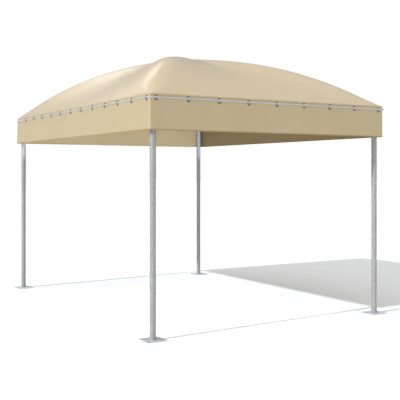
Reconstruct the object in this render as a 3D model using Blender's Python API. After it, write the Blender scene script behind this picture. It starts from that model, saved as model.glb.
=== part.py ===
"""Dome-roof gazebo: a tarpaulin canopy laced to a galvanised steel frame on four posts.

Units are metres and +Z is up. The origin lies on the ground at the middle of the plan.
X runs along the short sides, Y along the long sides. The front faces -Y.
Each object is one piece of the gazebo, named for its place.
"""

import math

import bmesh
import bpy
from mathutils import Matrix, Vector

# Plan and heights
POST_SPACING_X = 2.96
POST_SPACING_Y = 4.14
EAVE_OVERHANG = 0.070
EAVE_HEIGHT = 2.466
VALANCE_BOTTOM = 2.100
ROD_HEIGHT = 2.427
SEAT_GAP = 0.0003

# Dome, whose hips follow rise * (1 - t ** power) ** fullness from the crown, t = 0, to the eave, t = 1
DOME_RISE = 0.689
HIP_POWER = 2.257
HIP_FULLNESS = 1.095
SAG_OF_END_PANEL = 0.016
SAG_OF_SIDE_PANEL = 0.030
PANEL_RINGS = 14
PANEL_COLUMNS = 12

# Tarpaulin
SKIN_DEPTH = 0.004
VALANCE_THICKNESS = 0.003
EYELET_SLOT_WIDTH = 0.022
EYELET_SLOT_HEIGHT = 0.042
EYELET_SLOT_CORNER = 0.0066
EYELETS_ON_END = 9
EYELETS_ON_SIDE = 13
EYELET_THICKNESS = 0.0022

# Steel frame
POST_DIAMETER = 0.0635
BASE_PLATE_SIDE = 0.220
BASE_PLATE_THICKNESS = 0.008
HEAD_PLATE_SIDE = 0.120
HEAD_PLATE_THICKNESS = 0.008
BEAM_SIDE = 0.060
SHOE_SIDE = 0.090
SHOE_THICKNESS = 0.006
ARCH_DIAMETER = 0.038
ARCH_CLEARANCE = 0.0012
HUB_DIAMETER = 0.120
HUB_HEIGHT = 0.060
FOOT_CUTTER_HEIGHT = 0.300

# Lacing rod and the staples that hold it
ROD_DIAMETER = 0.016
ROD_BEND_RADIUS = 0.0125
STAPLE_BAR = 0.006
STAPLE_WIDTH = 0.007
STAPLE_PLAY = 0.001
STAPLE_ROOT = 0.004

# Facets of the round pieces
POST_FACETS = 24
ARCH_FACETS = 12
ROD_FACETS = 10
BEND_STEPS = 3
SMOOTH_ANGLE = math.radians(40)

# Sizes that follow from those above
HALF_X = POST_SPACING_X / 2 + EAVE_OVERHANG
HALF_Y = POST_SPACING_Y / 2 + EAVE_OVERHANG
HALF_DIAGONAL = math.hypot(HALF_X, HALF_Y)
VALANCE_TOP = EAVE_HEIGHT - SKIN_DEPTH - SEAT_GAP
BEAM_TOP = VALANCE_TOP
BEAM_BOTTOM = BEAM_TOP - BEAM_SIDE
HEAD_PLATE_TOP = BEAM_BOTTOM - SEAT_GAP
POST_TOP = HEAD_PLATE_TOP - HEAD_PLATE_THICKNESS - SEAT_GAP
POST_BOTTOM = BASE_PLATE_THICKNESS + SEAT_GAP
SHOE_BOTTOM = BEAM_TOP + SEAT_GAP
SHOE_TOP = SHOE_BOTTOM + SHOE_THICKNESS
ARCH_RADIUS = ARCH_DIAMETER / 2
ROD_RADIUS = ROD_DIAMETER / 2
BEAM_SETBACK = VALANCE_THICKNESS + SEAT_GAP
ROD_STANDOFF = EYELET_THICKNESS + SEAT_GAP + ROD_RADIUS

CORNERS = {
    "front_left": (-1, -1),
    "front_right": (1, -1),
    "back_right": (1, 1),
    "back_left": (-1, 1),
}

# Each side is drawn facing -Y and then turned: half width, distance out, eyelets, sag, turn
SIDES = {
    "front": (HALF_X, HALF_Y, EYELETS_ON_END, SAG_OF_END_PANEL, 0.0),
    "right": (HALF_Y, HALF_X, EYELETS_ON_SIDE, SAG_OF_SIDE_PANEL, math.radians(90)),
    "back": (HALF_X, HALF_Y, EYELETS_ON_END, SAG_OF_END_PANEL, math.radians(180)),
    "left": (HALF_Y, HALF_X, EYELETS_ON_SIDE, SAG_OF_SIDE_PANEL, math.radians(270)),
}


def clear_scene():
    for old in list(bpy.data.objects):
        bpy.data.objects.remove(old, do_unlink=True)


def make_material(name, colour, roughness, metallic):
    material = bpy.data.materials.new(name)
    material.use_nodes = True
    shader = material.node_tree.nodes["Principled BSDF"]
    shader.inputs["Base Color"].default_value = (*colour, 1.0)
    shader.inputs["Roughness"].default_value = roughness
    shader.inputs["Metallic"].default_value = metallic
    return material


def add_object(name, mesh_builder, material, location=(0, 0, 0), turn=0.0, smooth=False):
    """Turn a filled bmesh into a named object, with its faces pointing out."""
    bmesh.ops.recalc_face_normals(mesh_builder, faces=mesh_builder.faces)
    mesh = bpy.data.meshes.new(name)
    mesh_builder.to_mesh(mesh)
    mesh_builder.free()
    if smooth:
        mesh.shade_smooth()
        mesh.set_sharp_from_angle(angle=SMOOTH_ANGLE)
    if material:
        mesh.materials.append(material)
    made = bpy.data.objects.new(name, mesh)
    made.location = location
    made.rotation_euler = (0, 0, turn)
    bpy.context.collection.objects.link(made)
    return made


def hide_helper(helper):
    helper.hide_render = True
    helper.display_type = "WIRE"


def add_boolean(target, helper, operation):
    modifier = target.modifiers.new(helper.name, "BOOLEAN")
    modifier.operation = operation
    modifier.solver = "EXACT"
    modifier.object = helper


def box_mesh(size_x, size_y, size_z):
    """A box centred in plan that stands on z = 0."""
    builder = bmesh.new()
    placed = Matrix.Translation((0, 0, size_z / 2)) @ Matrix.Diagonal((size_x, size_y, size_z, 1))
    bmesh.ops.create_cube(builder, size=1.0, matrix=placed)
    return builder


def cylinder_mesh(radius, height, facets):
    """A closed cylinder that stands on z = 0."""
    builder = bmesh.new()
    bmesh.ops.create_cone(builder, cap_ends=True, segments=facets, radius1=radius, radius2=radius,
                          depth=height, matrix=Matrix.Translation((0, 0, height / 2)))
    return builder


def loft_rings(rings):
    """A closed bar through a row of rings, each with the same number of points."""
    builder = bmesh.new()
    loops = [[builder.verts.new(point) for point in ring] for ring in rings]
    count = len(loops[0])
    for near, far in zip(loops, loops[1:]):
        for i in range(count):
            k = (i + 1) % count
            builder.faces.new((near[i], near[k], far[k], far[i]))
    builder.faces.new(loops[0])
    builder.faces.new(loops[-1])
    return builder


def prism_mesh(outline, direction):
    """A closed prism: the outline, carried along a direction."""
    return loft_rings([outline, [Vector(point) + Vector(direction) for point in outline]])


def join_meshes(builders):
    """Several closed shapes in one bmesh, for a helper that a Boolean reads."""
    joined = bmesh.new()
    for builder in builders:
        mesh = bpy.data.meshes.new("part_of_helper")
        builder.to_mesh(mesh)
        builder.free()
        joined.from_mesh(mesh)
        bpy.data.meshes.remove(mesh)
    return joined


def spread(first, last, count):
    """Evenly spaced values with both ends."""
    return [first + (last - first) * i / (count - 1) for i in range(count)]


def hip_height(t):
    return EAVE_HEIGHT + DOME_RISE * max(1 - t ** HIP_POWER, 0) ** HIP_FULLNESS


def hip_slope(t):
    """The fall of the hip for each unit of t."""
    left = max(1 - t ** HIP_POWER, 0)
    return DOME_RISE * HIP_FULLNESS * left ** (HIP_FULLNESS - 1) * HIP_POWER * t ** (HIP_POWER - 1)


def ring_places():
    """Values of t from crown to eave, closer where the dome bends more."""
    return [math.sin(math.pi / 2 * k / PANEL_RINGS) for k in range(PANEL_RINGS + 1)]


def panel_height(t, s, sag):
    """The outer height of a panel, which sags a little between its two hips."""
    deepest = 4 / 27
    return hip_height(t) - sag * t * t * (1 - t) / deepest * (1 - s * s)


def hub_top():
    """The height at which the rim of the hub meets the lowest facets of the skin."""
    first = ring_places()[1]
    fall = EAVE_HEIGHT + DOME_RISE - panel_height(first, 0.0, SAG_OF_SIDE_PANEL)
    fall_at_rim = fall * HUB_DIAMETER / 2 / (HALF_X * first)
    return EAVE_HEIGHT + DOME_RISE - SKIN_DEPTH - fall_at_rim - SEAT_GAP


def roof_panel_mesh(half_width, distance_out, sag):
    """One triangular panel of the dome, as a closed shell."""
    builder = bmesh.new()
    layers = []
    for drop in (0.0, SKIN_DEPTH):
        rows = []
        for t in ring_places():
            columns = [0.0] if t == 0 else spread(-1.0, 1.0, PANEL_COLUMNS + 1)
            row = []
            for s in columns:
                z = panel_height(t, s, sag) - drop
                row.append(builder.verts.new((half_width * t * s, -distance_out * t - SEAT_GAP, z)))
            rows.append(row)
        layers.append(rows)
    for rows in layers:
        tip = rows[0][0]
        for i in range(PANEL_COLUMNS):
            builder.faces.new((tip, rows[1][i], rows[1][i + 1]))
        for near, far in zip(rows[1:], rows[2:]):
            for i in range(PANEL_COLUMNS):
                builder.faces.new((near[i], far[i], far[i + 1], near[i + 1]))
    upper, lower = layers
    for end in (0, -1):
        for k in range(PANEL_RINGS):
            corners = (upper[k][end], upper[k + 1][end], lower[k + 1][end], lower[k][end])
            builder.faces.new(corners)
    for i in range(PANEL_COLUMNS):
        builder.faces.new((upper[-1][i], upper[-1][i + 1], lower[-1][i + 1], lower[-1][i]))
    return builder


def fixing_places(half_width, count):
    """Where the eyelets and staples sit along a side, from post to post."""
    reach = half_width - EAVE_OVERHANG
    return spread(-reach, reach, count)


def slot_outline(centre_x, y):
    """An upright oval slot with eight corners."""
    half_w = EYELET_SLOT_WIDTH / 2
    half_h = EYELET_SLOT_HEIGHT / 2
    flat_w = half_w - EYELET_SLOT_CORNER
    flat_h = half_h - EYELET_SLOT_CORNER
    shape = [(half_w, flat_h), (flat_w, half_h), (-flat_w, half_h), (-half_w, flat_h),
             (-half_w, -flat_h), (-flat_w, -half_h), (flat_w, -half_h), (half_w, -flat_h)]
    return [Vector((centre_x + x, y, ROD_HEIGHT + z)) for x, z in shape]


def add_valance(side, material):
    """A straight hanging band of tarpaulin, with a slot for each staple."""
    half_width, distance_out, count, sag, turn = SIDES[side]
    if side in ("front", "back"):
        half_length = half_width - VALANCE_THICKNESS - SEAT_GAP
    else:
        half_length = half_width
    middle = (0, -distance_out + VALANCE_THICKNESS / 2, VALANCE_BOTTOM)
    builder = box_mesh(half_length * 2, VALANCE_THICKNESS, VALANCE_TOP - VALANCE_BOTTOM)
    bmesh.ops.translate(builder, verts=builder.verts, vec=middle)
    band = add_object(f"valance_{side}", builder, material, turn=turn)
    reach = (0, VALANCE_THICKNESS * 3, 0)
    start = -distance_out - VALANCE_THICKNESS
    slots = [prism_mesh(slot_outline(x, start), reach) for x in fixing_places(half_width, count)]
    cutter = add_object(f"slots_{side}", join_meshes(slots), None, turn=turn)
    hide_helper(cutter)
    add_boolean(band, cutter, "DIFFERENCE")


def staple_mesh(centre_x, distance_out):
    """A square-cut steel loop that stands out from the beam and goes round the rod."""
    beam_face = distance_out - BEAM_SETBACK
    inner_end = distance_out + ROD_STANDOFF + ROD_RADIUS + STAPLE_PLAY
    outer_end = inner_end + STAPLE_BAR
    root = beam_face - STAPLE_ROOT
    inner_low = ROD_HEIGHT - ROD_RADIUS - SEAT_GAP
    inner_high = ROD_HEIGHT + ROD_RADIUS + STAPLE_PLAY
    outer_low = inner_low - STAPLE_BAR
    outer_high = inner_high + STAPLE_BAR
    shape = [(root, outer_low), (outer_end, outer_low), (outer_end, outer_high), (root, outer_high),
             (root, inner_high), (inner_end, inner_high), (inner_end, inner_low), (root, inner_low)]
    left = centre_x - STAPLE_WIDTH / 2
    return prism_mesh([Vector((left, -out, z)) for out, z in shape], (STAPLE_WIDTH, 0, 0))


def add_eave_beam(side, material):
    """A square tube with mitred ends, and the row of staples that is welded to it."""
    half_width, distance_out, count, sag, turn = SIDES[side]
    face_out = distance_out - BEAM_SETBACK
    face_in = face_out - BEAM_SIDE
    half_outer = half_width - BEAM_SETBACK - SEAT_GAP
    half_inner = half_outer - BEAM_SIDE
    plan = [(-half_outer, -face_out), (half_outer, -face_out), (half_inner, -face_in), (-half_inner, -face_in)]
    outline = [Vector((x, y, BEAM_BOTTOM)) for x, y in plan]
    beam = add_object(f"eave_beam_{side}", prism_mesh(outline, (0, 0, BEAM_SIDE)), material, turn=turn)
    loops = [staple_mesh(x, distance_out) for x in fixing_places(half_width, count)]
    staples = add_object(f"staples_{side}", join_meshes(loops), None, turn=turn)
    hide_helper(staples)
    add_boolean(beam, staples, "UNION")


def add_lacing_rod(side, material):
    """A straight rod along one side that bends round half of the corner at each end."""
    half_width, distance_out, count, sag, turn = SIDES[side]
    line_y = -(distance_out + ROD_STANDOFF)
    bend_x = half_width + ROD_STANDOFF - ROD_BEND_RADIUS
    bend_y = line_y + ROD_BEND_RADIUS
    end_gap_angle = SEAT_GAP / ROD_BEND_RADIUS
    path = []
    for angle in spread(0.0, math.radians(45) - end_gap_angle, BEND_STEPS + 1):
        x = bend_x + ROD_BEND_RADIUS * math.sin(angle)
        y = bend_y - ROD_BEND_RADIUS * math.cos(angle)
        path.append((Vector((x, y, 0)), angle))
    mirrored = [(Vector((-place.x, place.y, 0)), -angle) for place, angle in reversed(path)]
    rings = []
    for place, angle in mirrored + path:
        across = Vector((math.sin(angle), -math.cos(angle), 0))
        ring = []
        for i in range(ROD_FACETS):
            turn_of_facet = 2 * math.pi * (i + 0.5) / ROD_FACETS
            offset = across * math.cos(turn_of_facet) * ROD_RADIUS
            rise = Vector((0, 0, ROD_HEIGHT + math.sin(turn_of_facet) * ROD_RADIUS))
            ring.append(place + offset + rise)
        rings.append(ring)
    add_object(f"lacing_rod_{side}", loft_rings(rings), material, turn=turn, smooth=True)


def arch_rings():
    """Rings of a diagonal arch along +X, just under the hip of the skin."""
    places = [t for t in ring_places() if t > 0]
    places.insert(0, places[0] / 4)
    centres = []
    for t in places:
        steepest = hip_slope(t) / HALF_X
        below = SKIN_DEPTH + (ARCH_RADIUS + ARCH_CLEARANCE) * math.hypot(1, steepest)
        centres.append(Vector((HALF_DIAGONAL * t, 0, hip_height(t) - below)))
    rings = []
    for k, centre in enumerate(centres):
        before = centres[max(k - 1, 0)]
        after = centres[min(k + 1, len(centres) - 1)]
        along = (after - before).normalized()
        side = Vector((0, 1, 0))
        up = along.cross(side)
        ring = []
        for i in range(ARCH_FACETS):
            angle = 2 * math.pi * i / ARCH_FACETS
            ring.append(centre + side * math.cos(angle) * ARCH_RADIUS + up * math.sin(angle) * ARCH_RADIUS)
        rings.append(ring)
    return rings


def add_arches(material):
    """Four half arches, cut level on their shoes and round against the hub."""
    foot_block = box_mesh(HALF_X * 3, HALF_Y * 3, FOOT_CUTTER_HEIGHT)
    foot_cutter = add_object("arch_foot_cutter", foot_block, None,
                             location=(0, 0, SHOE_TOP + SEAT_GAP - FOOT_CUTTER_HEIGHT))
    hub_block = cylinder_mesh(HUB_DIAMETER / 2 + SEAT_GAP, HUB_HEIGHT * 3, POST_FACETS)
    hub_cutter = add_object("arch_hub_cutter", hub_block, None, location=(0, 0, hub_top() - HUB_HEIGHT * 2))
    for cutter in (foot_cutter, hub_cutter):
        hide_helper(cutter)
    for corner, (sign_x, sign_y) in CORNERS.items():
        turn = math.atan2(sign_y * HALF_Y, sign_x * HALF_X)
        arch = add_object(f"dome_arch_{corner}", loft_rings(arch_rings()), material, turn=turn, smooth=True)
        add_boolean(arch, foot_cutter, "DIFFERENCE")
        add_boolean(arch, hub_cutter, "DIFFERENCE")


def add_corner_pieces(steel, plate_steel):
    """Post, base plate, head plate and arch shoe at each corner."""
    for corner, (sign_x, sign_y) in CORNERS.items():
        x = sign_x * POST_SPACING_X / 2
        y = sign_y * POST_SPACING_Y / 2
        add_object(f"base_plate_{corner}", box_mesh(BASE_PLATE_SIDE, BASE_PLATE_SIDE, BASE_PLATE_THICKNESS),
                   plate_steel, location=(x, y, 0))
        add_object(f"post_{corner}", cylinder_mesh(POST_DIAMETER / 2, POST_TOP - POST_BOTTOM, POST_FACETS),
                   steel, location=(x, y, POST_BOTTOM), smooth=True)
        add_object(f"head_plate_{corner}", box_mesh(HEAD_PLATE_SIDE, HEAD_PLATE_SIDE, HEAD_PLATE_THICKNESS),
                   plate_steel, location=(x, y, HEAD_PLATE_TOP - HEAD_PLATE_THICKNESS))
        add_object(f"arch_shoe_{corner}", box_mesh(SHOE_SIDE, SHOE_SIDE, SHOE_THICKNESS),
                   plate_steel, location=(x, y, SHOE_BOTTOM))


def main():
    clear_scene()
    steel = make_material("galvanised_tube", (0.50, 0.50, 0.50), 0.42, 0.85)
    plate_steel = make_material("galvanised_plate", (0.42, 0.44, 0.47), 0.50, 0.80)
    rod_metal = make_material("rod_metal", (0.60, 0.61, 0.62), 0.38, 0.80)
    tarpaulin = make_material("tarpaulin", (0.66, 0.55, 0.37), 0.55, 0.0)
    add_corner_pieces(steel, plate_steel)
    add_object("dome_hub", cylinder_mesh(HUB_DIAMETER / 2, HUB_HEIGHT, POST_FACETS), plate_steel,
               location=(0, 0, hub_top() - HUB_HEIGHT), smooth=True)
    add_arches(steel)
    for side, (half_width, distance_out, count, sag, turn) in SIDES.items():
        add_eave_beam(side, steel)
        add_lacing_rod(side, rod_metal)
        add_object(f"roof_panel_{side}", roof_panel_mesh(half_width, distance_out, sag), tarpaulin, turn=turn,
                   smooth=True)
        add_valance(side, tarpaulin)


if __name__ == "__main__":
    main()
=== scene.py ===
"""Looks of the dome-roof gazebo: tarpaulin, eyelets, lacing rod and galvanised steel frame."""
import math
from collections import namedtuple
from functools import partial

import bmesh
import bpy
from bpy.props import FloatProperty, FloatVectorProperty, IntProperty, PointerProperty
from mathutils import Matrix, Vector


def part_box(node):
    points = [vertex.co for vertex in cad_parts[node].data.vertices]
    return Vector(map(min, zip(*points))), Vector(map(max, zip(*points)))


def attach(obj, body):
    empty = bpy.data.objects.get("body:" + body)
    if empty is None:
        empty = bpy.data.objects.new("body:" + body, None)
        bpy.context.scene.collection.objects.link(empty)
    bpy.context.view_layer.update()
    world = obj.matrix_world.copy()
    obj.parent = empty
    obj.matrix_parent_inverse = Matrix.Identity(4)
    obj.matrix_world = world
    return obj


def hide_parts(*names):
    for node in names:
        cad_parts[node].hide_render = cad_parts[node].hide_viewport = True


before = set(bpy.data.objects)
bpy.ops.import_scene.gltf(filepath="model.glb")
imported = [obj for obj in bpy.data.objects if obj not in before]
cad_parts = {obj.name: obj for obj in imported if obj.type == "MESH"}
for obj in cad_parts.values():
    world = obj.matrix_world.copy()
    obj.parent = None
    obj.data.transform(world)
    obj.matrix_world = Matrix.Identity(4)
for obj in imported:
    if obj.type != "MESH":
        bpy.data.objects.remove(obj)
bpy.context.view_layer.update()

bl_info = {
    "name": "Dome-roof gazebo",
    "version": (1, 0, 0),
    "blender": (4, 5, 0),
    "location": "3D View > Sidebar > Gazebo",
    "description": "Builds the canopy, the lacing and the steel frame of a dome-roof gazebo",
    "category": "Object",
}

CORNERS = {"front_left": (-1, -1), "front_right": (1, -1), "back_right": (1, 1), "back_left": (-1, 1)}
SIDES = ("front", "right", "back", "left")

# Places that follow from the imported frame, in metres
HALF_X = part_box("valance_right")[1].x
HALF_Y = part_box("valance_back")[1].y
HALF_DIAGONAL = math.hypot(HALF_X, HALF_Y)
SKIN_DEPTH = 0.004
SEAT_GAP = 0.0003
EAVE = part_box("valance_front")[1].z + SKIN_DEPTH + SEAT_GAP
VALANCE_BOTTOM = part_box("valance_front")[0].z
ROD_LOW, ROD_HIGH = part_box("lacing_rod_front")
ROD_HEIGHT = (ROD_LOW.z + ROD_HIGH.z) / 2
ROD_RADIUS = (ROD_HIGH.z - ROD_LOW.z) / 2
ROD_LINE = -ROD_LOW.y - ROD_RADIUS - HALF_Y
POST_LOW, POST_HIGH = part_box("post_front_right")
POST_RADIUS = (POST_HIGH.x - POST_LOW.x) / 2
POST_X = (POST_HIGH.x + POST_LOW.x) / 2
POST_Y = -(POST_HIGH.y + POST_LOW.y) / 2
BEAM_LOW, BEAM_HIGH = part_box("eave_beam_front")
SHOE_LOW, SHOE_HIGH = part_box("arch_shoe_front_right")
HEAD_LOW, HEAD_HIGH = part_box("head_plate_front_right")
PLATE_LOW, PLATE_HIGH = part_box("base_plate_front_right")
HUB_LOW, HUB_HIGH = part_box("dome_hub")
BEAM_SETBACK = 0.0033
BEAM_SIDE = BEAM_HIGH.z - BEAM_LOW.z
POSTS = {corner: (x * POST_X, y * POST_Y) for corner, (x, y) in CORNERS.items()}

# Form that the cloth takes over the arches, in shares of the way from the crown to the eave
SAG_RISE, SAG_FALL, SAG_ACROSS = 2.69, 0.82, 1.22
SAG_PEAK = (SAG_RISE / (SAG_RISE + SAG_FALL)) ** SAG_RISE * (SAG_FALL / (SAG_RISE + SAG_FALL)) ** SAG_FALL
HIP_FOOT, LEAST_BREADTH = 0.087, 0.003
CROWN_FILL, CROWN_BREADTH = 0.019, 0.16

CREASE = math.radians(35)
ANCHOR_INSET = 0.032
BOLT_OFFSETS = ((0.034, -0.034), (-0.034, 0.034))


PROPERTY_KINDS = {float: FloatProperty, int: IntProperty, tuple: FloatVectorProperty}


def setting(name, description, default, **kind):
    """A number, a count, a place or a colour that a user can change."""
    return PROPERTY_KINDS[type(default)](name=name, description=description, default=default, **kind)


length = partial(setting, unit="LENGTH")
angle = partial(setting, subtype="ANGLE")
colour_of = partial(setting, subtype="COLOR", size=3)


class CanopySizes(bpy.types.PropertyGroup):
    """Sizes of the tarpaulin roof and its valance."""

    dome_rise: length("Dome rise", "Rise of the dome above the eave", 0.6623)
    hip_power: setting("Hip power", "How late the hip begins to fall", 1.761)
    hip_fullness: setting("Hip fullness", "How round the foot of the hip is", 0.891)
    hip_breadth: setting("Hip breadth", "Share of the half width that a hip rounds", 0.137)
    hip_swell: length("Hip swell", "How far the arches lift the cloth along the hips", 0.066)
    swell_breadth: setting("Swell breadth", "Share of the half width that is lifted", 0.2805)
    end_sag: length("End sag", "How far the end panels sag", 0.0305)
    side_sag: length("Side sag", "How far the side panels sag", 0.0534)
    crown_drift_x: length("Crown drift across", "How far the crown is off centre", -0.020)
    crown_drift_y: length("Crown drift along", "How far the crown is off centre", 0.020)
    eave_roll: length("Eave roll", "Radius of the turned eave edge", 0.007)
    eave_overhang: length("Eave overhang", "How far the eave edge stands out", 0.004)
    lip: length("Lip", "Depth of the lap that is welded over the valance", 0.006)
    pucker: length("Pucker", "Depth of the pull at each eyelet", 0.0030)
    unevenness: length("Unevenness", "Soft unevenness of the cloth", 0.0035)
    cells: setting("Cells", "Cells from the crown to the eave", 71)
    cloth: length("Cloth", "Thickness of the coated cloth", 0.0009)
    flare: length("Flare", "How far the valance swings out at its hem", 0.004)
    corner_flare: length("Corner flare", "Extra swing near the front left", 0.010)
    wave: length("Wave", "Height of the slow waves along the hem", 0.0022)
    hem_depth: length("Hem depth", "Depth of the welded hem", 0.040)
    hem_bead: length("Hem bead", "Radius of the cord in the hem", 0.0045)


class FixingSizes(bpy.types.PropertyGroup):
    """Sizes of the eyelets, the staples and the fasteners."""

    end_count: setting("End count", "Eyelets on a short side", 9)
    side_count: setting("Side count", "Eyelets on a long side", 13)
    hole_width: length("Hole width", "Width of the eyelet hole", 0.022)
    hole_height: length("Hole height", "Height of the eyelet hole", 0.046)
    drop: length("Drop", "How far the middle of an eyelet lies below the rod", 0.0045)
    rim: length("Rim", "Width of the eyelet rim", 0.0090)
    rim_depth: length("Rim depth", "Thickness of the eyelet rim", 0.0032)
    staple_bar: length("Staple bar", "Diameter of the staple's round bar", 0.006)
    bolt: length("Bolt", "Thread diameter of the frame bolts", 0.010)
    anchor_hole: length("Anchor hole", "Diameter of the holes in a base plate", 0.014)


class Finishes(bpy.types.PropertyGroup):
    """Colours of the cloth and the metals."""

    cloth: colour_of("Cloth", "Colour of the tarpaulin", (0.382, 0.308, 0.184))
    # The inner face gets a darker, duller copy of the cloth colour: painted shade for the inside of the
    # canopy, where the lamps reach less
    inside: colour_of("Inside", "Colour of the matt inner face", (0.274, 0.200, 0.097))
    zinc: colour_of("Zinc", "Colour of the galvanised tubes", (0.304, 0.300, 0.296))
    plate: colour_of("Plate", "Colour of the galvanised plates", (0.525, 0.552, 0.600))
    rod: colour_of("Rod", "Colour of the lacing rod", (0.40, 0.415, 0.43))


class StageSettings(bpy.types.PropertyGroup):
    """Camera and lights."""

    focal: setting("Focal length", "Lens on a 36 mm sensor, in millimetres", 69.86)
    turn: angle("Turn", "Turn of the view from the long side", math.radians(30.53))
    shift: setting("Shift", "Vertical shift of the frame", -0.0687)
    place: setting("Place", "Place of the camera", (-5.018, -8.998, 1.678), subtype="XYZ", size=3)
    sun: setting("Sun", "Strength of the key light", 3.87)
    sun_height: angle("Sun height", "Height of the key light", math.radians(32.2))
    sun_turn: angle("Sun turn", "Turn of the key light", math.radians(5.4))
    fill: setting("Fill", "Strength of the low front light", 3.3)
    glow: setting("Glow", "Strength of the soft glow behind the dome", 1.5)
    glow_turn: angle("Glow turn", "Turn of the glow", math.radians(15.0))
    glow_height: angle("Glow height", "Height of the glow", math.radians(28.0))
    glow_width: setting("Glow width", "Spread of the glow sideways", 0.150)
    glow_depth: setting("Glow depth", "Spread of the glow up and down", 0.095)
    lift: setting("Lift", "Strength of the light under the roof", 8.0)
    wash: setting("Wash", "Strength of the light on the floor under the roof", 12.0)
    overhead: setting("Overhead", "Strength of the soft light from above", 1.05)
    surround: setting("Surround", "Strength of the soft light all round", 0.27)


# Node trees

def adjust(thing, **settings):
    """Set several properties of a thing, and return it."""
    for name, value in settings.items():
        setattr(thing, name, value)
    return thing


def adds(operation, swapped=False):
    """A method that adds a Math node on a value and what follows it, or with the two swapped."""
    if swapped:
        return lambda value, other: value.tree.math(operation, other, value)
    return lambda value, *others: value.tree.math(operation, value, *others)


class Value:
    """A socket that takes part in Python arithmetic, in a shader or a geometry tree."""

    def __init__(self, tree, socket):
        self.tree = tree
        self.socket = socket

    def __getitem__(self, name):
        """Another output of the same node."""
        outputs = self.socket.node.outputs
        return Value(self.tree, next(s for s in outputs if s.enabled and s.name == name))

    def __neg__(self):
        return self * -1.0

    __add__ = __radd__ = adds("ADD")
    __sub__, __rsub__ = adds("SUBTRACT"), adds("SUBTRACT", swapped=True)
    __mul__ = __rmul__ = adds("MULTIPLY")
    __truediv__, __rtruediv__ = adds("DIVIDE"), adds("DIVIDE", swapped=True)
    __pow__, __abs__ = adds("POWER"), adds("ABSOLUTE")
    at_least, at_most, above = adds("MAXIMUM"), adds("MINIMUM"), adds("GREATER_THAN")
    sine, cosine, root, exponential = adds("SINE"), adds("COSINE"), adds("SQRT"), adds("EXPONENT")

    def clamp(self):
        """This value, held between 0 and 1."""
        made = self + 0.0
        made.socket.node.use_clamp = True
        return made

    def step(self, low, high):
        """A smooth step from 0 at low to 1 at high."""
        return self.tree.node("ShaderNodeMapRange", {"Value": self, "From Min": low, "From Max": high},
                              interpolation_type="SMOOTHSTEP")


class Tree:
    """Adds nodes to a node tree and links their sockets."""

    def __init__(self, tree):
        self.tree = tree

    def put(self, socket, value):
        """Link a value, or each of a list of values, to a socket, or set the socket."""
        for one in value if isinstance(value, list) else [value]:
            if isinstance(one, Value):
                self.tree.links.new(one.socket, socket)
            else:
                socket.default_value = one

    def fill(self, node, inputs):
        for key, value in inputs.items():
            self.put(node.inputs[key], value)

    def node(self, kind, inputs=None, **settings):
        """The first output of a new node, whose settings are set before its sockets."""
        node = adjust(self.tree.nodes.new(kind), **settings)
        self.fill(node, inputs or {})
        return Value(self, next(s for s in node.outputs if s.enabled))

    def math(self, operation, *values):
        return self.node("ShaderNodeMath", dict(enumerate(values)), operation=operation)

    def vector(self, x, y, z):
        return self.node("ShaderNodeCombineXYZ", {"X": x, "Y": y, "Z": z})

    def split(self, vector):
        made = self.node("ShaderNodeSeparateXYZ", {"Vector": vector})
        return made["X"], made["Y"], made["Z"]

    def noise(self, place, scale, detail, rough=0.5):
        return self.node("ShaderNodeTexNoise",
                         {"Vector": place, "Scale": scale, "Detail": detail, "Roughness": rough})

    def bump(self, strength, height):
        """A normal that leans with a height in metres."""
        return self.node("ShaderNodeBump", {"Strength": strength, "Distance": 1.0, "Height": height})

    def mix_colour(self, factor, low, high):
        node = adjust(self.tree.nodes.new("ShaderNodeMix"), data_type="RGBA")
        sockets = {socket.identifier: socket for socket in (*node.inputs, *node.outputs)}
        for name, value in (("Factor_Float", factor), ("A_Color", low), ("B_Color", high)):
            self.put(sockets[name], value)
        return Value(self, sockets["Result_Color"])


# Finishes

def start_material(name):
    """A new material, its tree and its Principled shader."""
    material = bpy.data.materials.new(name)
    material.use_nodes = True
    return material, Tree(material.node_tree), material.node_tree.nodes["Principled BSDF"]


def shade(colour, factor):
    """A colour made lighter or darker, with its alpha."""
    return (*(part * factor for part in colour[:3]), 1.0)


THREAD = 0.0016
LAP_START, LAP_LINE, LAP_END, LAP_FADE = 0.011, 0.0118, 0.0125, 0.0022


def tarpaulin_material(name, colour, rough, coat):
    """Coated cloth: a fine basket weave under a soft gloss, with welded laps and slow changes of tone."""
    material, tree, shader = start_material(name)
    across, down, _ = tree.split(tree.node("ShaderNodeUVMap", uv_map="cloth"))
    turns = 2 * math.pi / THREAD
    weave = (across * turns).sine() * (down * turns).sine()
    seam = tree.node("ShaderNodeAttribute", attribute_name="seam")["Fac"]
    lap = 1 - seam.step(LAP_START, LAP_END)
    lap_edge = 1 - (abs(seam - LAP_LINE) / LAP_FADE).clamp()
    place = tree.node("ShaderNodeTexCoord")["Object"]
    broad = tree.noise(place, 1.3, 3.0)
    fine = tree.noise(place, 38.0, 4.0, 0.6)
    tone = (broad * 0.7 + fine * 0.3).step(0.25, 0.75)
    base = tree.mix_colour(tone, shade(colour, 0.98), shade(colour, 1.02))
    base = tree.mix_colour(lap_edge * 0.30, base, shade(colour, 0.72))
    base = tree.mix_colour(lap * 0.10, base, shade(colour, 1.12))
    height = weave * 0.000006 + fine * 0.00001 + lap * 0.0004
    tree.fill(shader, {"Base Color": base, "Roughness": rough + fine * 0.08 - lap * 0.03,
                       "Normal": tree.bump(0.55, height), "Specular IOR Level": 0.25,
                       "Coat Weight": coat, "Coat Roughness": 0.15, "Coat IOR": 1.4})
    return material


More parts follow.
